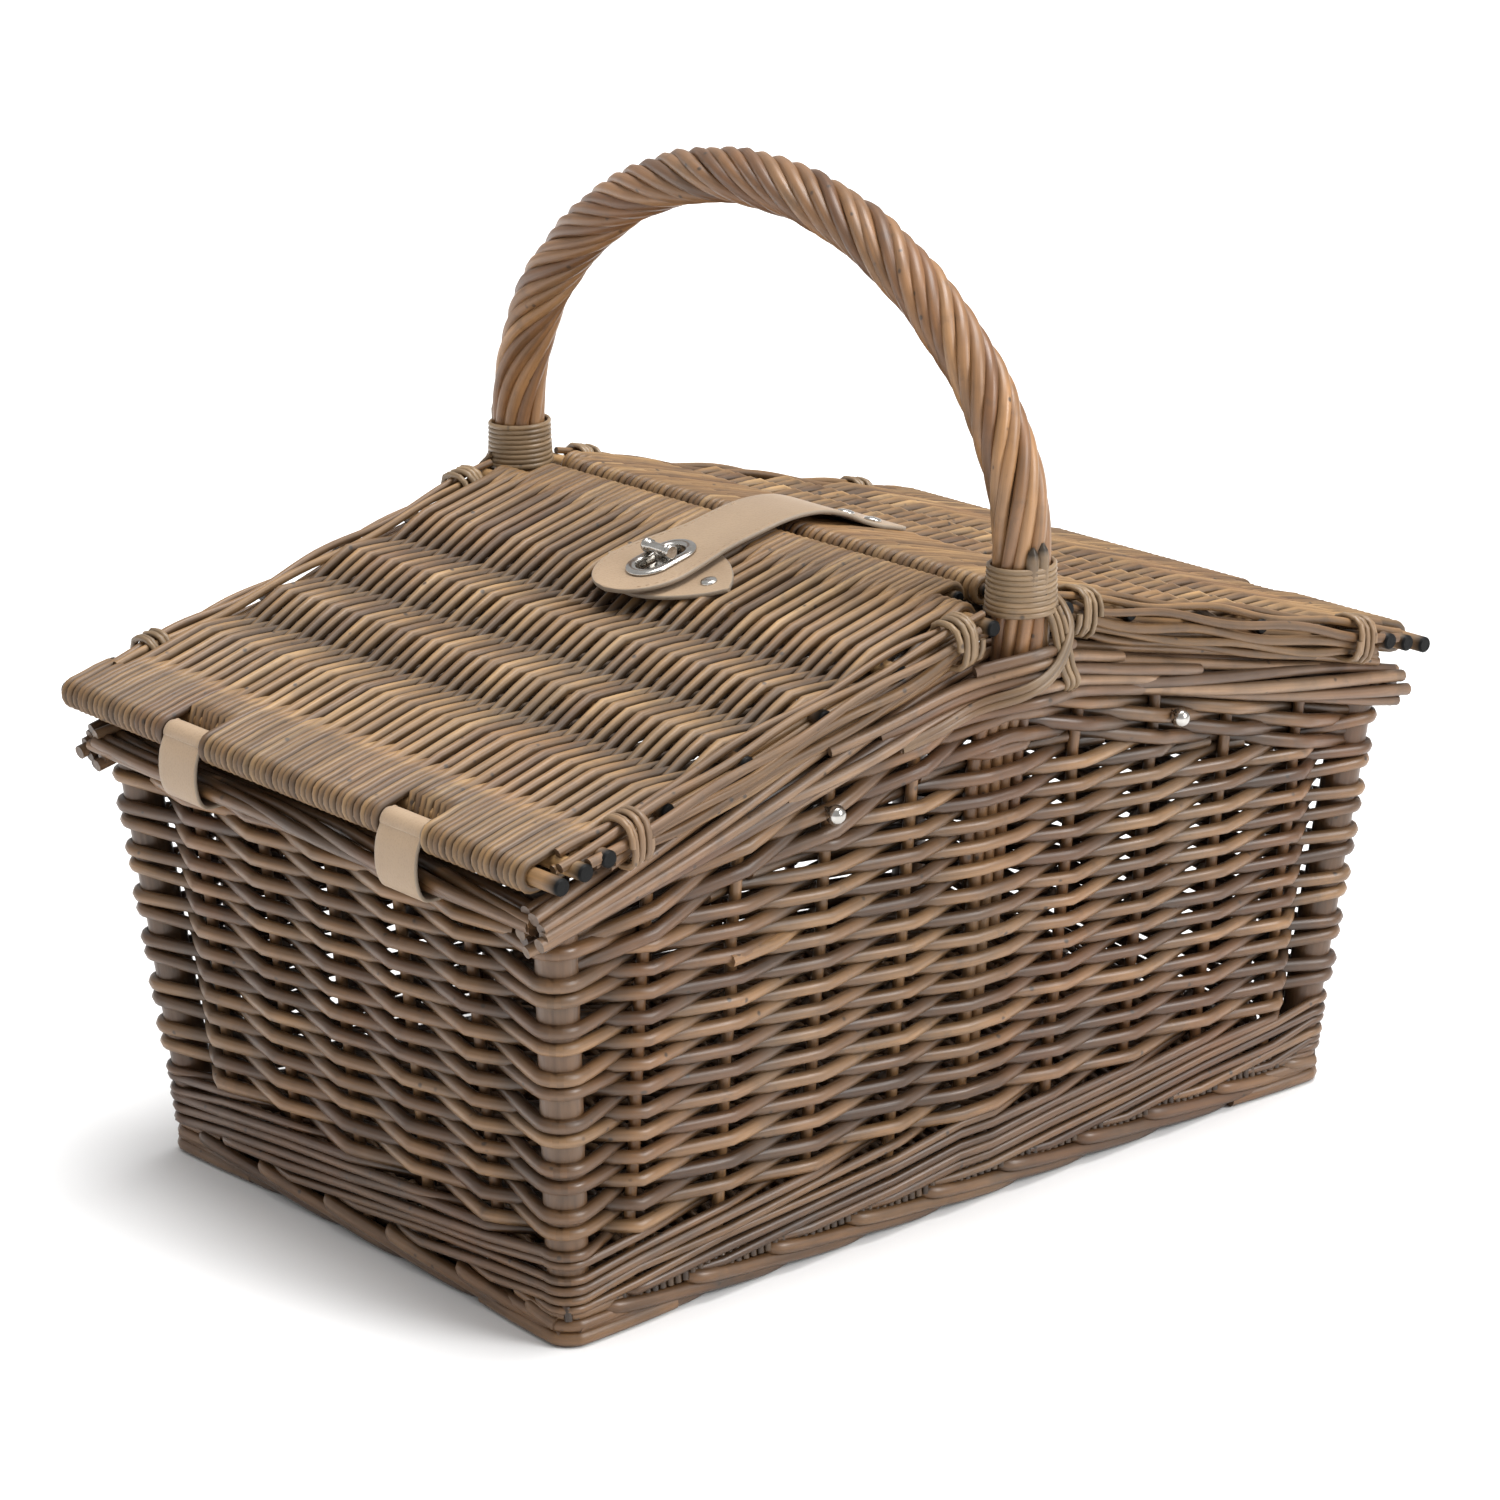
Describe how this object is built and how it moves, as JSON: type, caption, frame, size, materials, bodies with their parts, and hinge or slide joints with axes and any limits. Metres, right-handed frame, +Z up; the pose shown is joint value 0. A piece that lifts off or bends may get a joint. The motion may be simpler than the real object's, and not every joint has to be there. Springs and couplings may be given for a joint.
{
  "type": "woven picnic basket",
  "caption": "Rectangular woven willow picnic basket with hinged sloping lids, a twisted hoop handle, leather hinge loops and a leather strap with a turn lock.",
  "frame": {"origin": "middle of the foot on the ground", "axes": "+X along the length, towards the lid that carries the strap; +Z up; the handle stands in the Y-Z plane"},
  "size_m": [0.4854, 0.3514, 0.4238],
  "materials": {
    "woven_willow": "matte",
    "willow_rods": "matte",
    "handle_willow": "satin",
    "tan_leather": "matte",
    "bright_metal": "polished"
  },
  "bodies": {
    "basket": {"base_panel": "woven_willow", "foot_rim_front": "woven_willow", "foot_rim_back": "woven_willow", "foot_rim_left": "woven_willow", "foot_rim_right": "woven_willow", "wall_front": "woven_willow", "wall_back": "woven_willow", "wall_left": "woven_willow", "wall_right": "woven_willow", "stakes_front": "willow_rods", "stakes_back": "willow_rods", "stakes_left": "willow_rods", "stakes_right": "willow_rods", "corner_post_front_left": "willow_rods", "corner_post_front_right": "willow_rods", "corner_post_back_left": "willow_rods", "corner_post_back_right": "willow_rods", "border_front": "woven_willow", "border_back": "woven_willow", "border_left": "woven_willow", "border_right": "woven_willow", "handle_hoop": "handle_willow", "handle_collar_front": "handle_willow", "handle_collar_back": "handle_willow", "handle_liners_front": "handle_willow", "handle_liners_back": "handle_willow", "handle_ties_front": "handle_willow", "handle_ties_back": "handle_willow", "hinge_loop_left_front": "tan_leather", "hinge_loop_left_back": "tan_leather", "hinge_loop_right_front": "tan_leather", "hinge_loop_right_back": "tan_leather", "ball_studs": "bright_metal", "stud_washers": "bright_metal"},
    "lid_left": {"lid_left_weave": "woven_willow", "lid_left_edge_sticks": "willow_rods", "lid_left_cross_sticks": "willow_rods", "lid_left_ridge_sticks": "willow_rods", "lid_left_side_rods": "willow_rods", "lid_left_bindings": "woven_willow", "lock_patch": "tan_leather", "patch_rivets": "bright_metal", "lock_base": "bright_metal"},
    "lid_right": {"lid_right_weave": "woven_willow", "lid_right_edge_sticks": "willow_rods", "lid_right_cross_sticks": "willow_rods", "lid_right_ridge_sticks": "willow_rods", "lid_right_side_rods": "willow_rods", "lid_right_bindings": "woven_willow", "strap_rivets": "bright_metal"},
    "strap": {"latch_strap": "tan_leather", "eyelet_plate": "bright_metal"},
    "turn_bar": {"turn_bar": "bright_metal"}
  },
  "joints": [
    {"name": "lid_left_hinge", "type": "hinge", "parent": "basket", "child": "lid_left", "pos_m": [-0.2362, 0, 0.2033], "axis": [0, -1, 0], "range_deg": [0, 105], "deforming": ["latch_strap", "eyelet_plate"]},
    {"name": "lid_right_hinge", "type": "hinge", "parent": "basket", "child": "lid_right", "pos_m": [0.2362, 0, 0.2033], "axis": [0, 1, 0], "range_deg": [0, 105], "deforming": ["latch_strap", "eyelet_plate"]},
    {"name": "strap_lift", "type": "hinge", "parent": "lid_right", "child": "strap", "pos_m": [0.04399, 0, 0.26078], "axis": [0, 1, 0], "range_deg": [0, 110], "deforming": ["latch_strap", "eyelet_plate"]},
    {"name": "lock_turn", "type": "hinge", "parent": "lid_left", "child": "turn_bar", "pos_m": [-0.05883, -0.009, 0.26419], "axis": [-0.2529, 0, 0.9675], "range_deg": [0, 90]}
  ]
}
